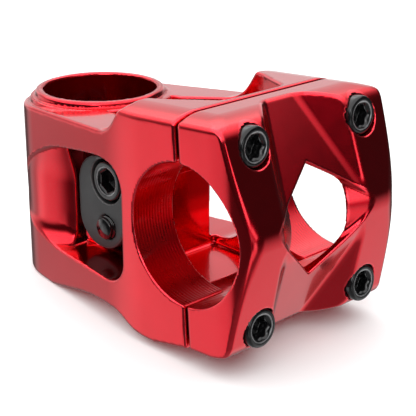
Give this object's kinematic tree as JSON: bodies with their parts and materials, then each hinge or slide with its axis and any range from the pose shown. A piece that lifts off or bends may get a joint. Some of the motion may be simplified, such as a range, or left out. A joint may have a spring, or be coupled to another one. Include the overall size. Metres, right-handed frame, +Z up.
{
  "type": "handlebar stem",
  "caption": "Handlebar stem with an open machined body, a windowed bolted faceplate and an internal wedge clamp for the steerer tube.",
  "frame": {"origin": "on the steerer bore's axis, at the lower face that sits on the headset spacer", "axes": "+X forward to the handlebar, +Y to the rider's left along the handlebar, +Z up the steerer tube"},
  "size_m": [0.0962, 0.0514, 0.0565],
  "materials": {
    "red_anodised": "polished, red anodised",
    "grey_anodised": "bead blasted, dark grey anodised",
    "black_steel": "black oxide, semi-gloss"
  },
  "bodies": {
    "body": {"stem_body": "red_anodised"},
    "faceplate": {"faceplate": "red_anodised"},
    "faceplate_bolt_upper_right": {"faceplate_bolt_upper_right": "black_steel"},
    "faceplate_bolt_upper_left": {"faceplate_bolt_upper_left": "black_steel"},
    "faceplate_bolt_lower_right": {"faceplate_bolt_lower_right": "black_steel"},
    "faceplate_bolt_lower_left": {"faceplate_bolt_lower_left": "black_steel"},
    "wedge_right": {"clamp_wedge_right": "grey_anodised"},
    "wedge_left": {"clamp_wedge_left": "grey_anodised"},
    "clamp_bolt_upper": {"clamp_bolt_upper": "black_steel"},
    "clamp_bolt_lower": {"clamp_bolt_lower": "black_steel"}
  },
  "joints": [
    {"name": "faceplate_slide", "type": "slide", "parent": "body", "child": "faceplate", "axis": [0.9978, 0, 0.0656], "range_m": [0, 0.026]},
    {"name": "faceplate_bolt_upper_right_turn", "type": "hinge", "parent": "faceplate", "child": "faceplate_bolt_upper_right", "pos_m": [0.06567, -0.017, 0.05037], "axis": [0.9978, 0, 0.0656], "continuous": true},
    {"name": "faceplate_bolt_upper_left_turn", "type": "hinge", "parent": "faceplate", "child": "faceplate_bolt_upper_left", "pos_m": [0.06567, 0.017, 0.05037], "axis": [0.9978, 0, 0.0656], "continuous": true},
    {"name": "faceplate_bolt_lower_right_turn", "type": "hinge", "parent": "faceplate", "child": "faceplate_bolt_lower_right", "pos_m": [0.06826, -0.017, 0.01086], "axis": [0.9978, 0, 0.0656], "continuous": true},
    {"name": "faceplate_bolt_lower_left_turn", "type": "hinge", "parent": "faceplate", "child": "faceplate_bolt_lower_left", "pos_m": [0.06826, 0.017, 0.01086], "axis": [0.9978, 0, 0.0656], "continuous": true},
    {"name": "wedge_right_slide", "type": "slide", "parent": "body", "child": "wedge_right", "axis": [0, -1, 0], "range_m": [0, 0.0015]},
    {"name": "wedge_left_slide", "type": "slide", "parent": "body", "child": "wedge_left", "axis": [0, 1, 0], "range_m": [0, 0.0015]},
    {"name": "clamp_bolt_upper_turn", "type": "hinge", "parent": "wedge_right", "child": "clamp_bolt_upper", "pos_m": [0.019, -0.0092, 0.03005], "axis": [0, -1, 0], "continuous": true},
    {"name": "clamp_bolt_lower_turn", "type": "hinge", "parent": "wedge_left", "child": "clamp_bolt_lower", "pos_m": [0.019, 0.0092, 0.01835], "axis": [0, 1, 0], "continuous": true}
  ],
  "couplings": [
    {"joint": "wedge_left_slide", "follows": "wedge_right_slide", "ratio": 1}
  ]
}
